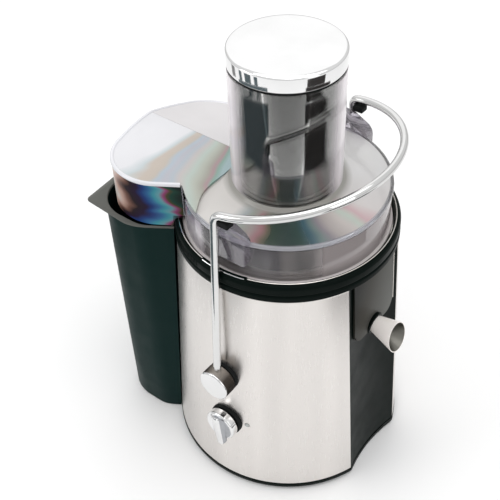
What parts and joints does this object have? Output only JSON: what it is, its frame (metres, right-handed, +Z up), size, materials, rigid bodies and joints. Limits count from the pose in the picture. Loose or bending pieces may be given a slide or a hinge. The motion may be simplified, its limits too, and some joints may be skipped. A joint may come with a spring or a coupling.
{
  "type": "centrifugal juicer",
  "caption": "Upright centrifugal juicer: tapered steel motor body, spinning filter basket under a clear lid, feed chute with pusher, swinging bail, spout and rear pulp bin.",
  "frame": {"origin": "centre of the object's plan box, on the table top it stands on", "axes": "+X towards the juice spout, -X towards the pulp bin, -Y the side with the switch, +Z up; the body's centre line is at x 21.5 mm"},
  "size_m": [0.271, 0.2256, 0.4],
  "materials": {
    "satin_steel": "satin, slightly warm",
    "bright_steel": "fine polish",
    "chrome": "mirror",
    "black_plastic": "satin, faint green cast",
    "bin_plastic": "fine matt grain",
    "gloss_black": "dark see-through plastic, mirror-like",
    "badge": "satin metallic",
    "grey_plastic": "moulded",
    "clear": "clear polycarbonate",
    "rubber": "matt",
    "copper": "enamelled wire",
    "iron": "plain",
    "lens": "frosted"
  },
  "bodies": {
    "housing": {"base_pan": "black_plastic", "foot_1": "rubber", "foot_2": "rubber", "foot_3": "rubber", "foot_4": "rubber", "base_screw_1": "bright_steel", "base_screw_2": "bright_steel", "base_screw_3": "bright_steel", "motor_housing": "grey_plastic", "steel_wrap_near": "satin_steel", "steel_wrap_far": "satin_steel", "rear_panel": "black_plastic", "front_panel": "black_plastic", "badge_plate": "badge", "top_ring": "black_plastic", "juice_bowl": "bright_steel", "bowl_seal": "rubber", "juice_spout": "bright_steel", "spout_collar": "black_plastic", "lid": "clear", "pivot_washer_near": "rubber", "pivot_washer_far": "rubber", "pivot_bracket_near": "grey_plastic", "pivot_bracket_far": "grey_plastic", "switch_washer": "rubber", "switch_body": "grey_plastic", "indicator_lens": "lens", "safety_switch": "grey_plastic", "cord_gland": "rubber", "motor_can": "iron", "motor_mount": "iron", "motor_damper_1": "rubber", "motor_damper_2": "rubber", "motor_damper_3": "rubber", "motor_stator": "copper", "brush_holder_near": "grey_plastic", "brush_holder_far": "grey_plastic", "lower_bearing": "bright_steel", "upper_bearing": "bright_steel"},
    "basket": {"motor_shaft": "bright_steel", "motor_armature": "copper", "commutator": "copper", "cooling_fan": "grey_plastic", "drive_coupling": "black_plastic", "filter_basket": "bright_steel", "grater_disc": "bright_steel", "clamp_nut": "black_plastic"},
    "pusher": {"pusher_body": "gloss_black", "pusher_seal": "rubber", "pusher_cap": "chrome"},
    "bail": {"bail_rod": "chrome", "pivot_knob_near": "chrome", "pivot_knob_far": "chrome", "pivot_pin_near": "bright_steel", "pivot_pin_far": "bright_steel", "bail_pad_near": "rubber", "bail_pad_far": "rubber"},
    "switch": {"switch_knob": "chrome"},
    "bin": {"pulp_bin": "bin_plastic"}
  },
  "joints": [
    {"name": "bail_swing", "type": "hinge", "parent": "housing", "child": "bail", "pos_m": [0.0265, 0, 0.134], "axis": [0, 1, 0], "range_deg": [0, 78]},
    {"name": "pusher_slide", "type": "slide", "parent": "housing", "child": "pusher", "axis": [0, 0, 1], "range_m": [0, 0.15]},
    {"name": "basket_spin", "type": "hinge", "parent": "housing", "child": "basket", "pos_m": [0.0215, 0, 0.19], "axis": [0, 0, 1], "continuous": true},
    {"name": "switch_turn", "type": "hinge", "parent": "housing", "child": "switch", "pos_m": [0.0285, -0.1, 0.0795], "axis": [0, 1, 0], "range_deg": [-45, 45]},
    {"name": "bin_slide", "type": "slide", "parent": "housing", "child": "bin", "axis": [-1, 0, 0], "range_m": [0, 0.15]}
  ]
}
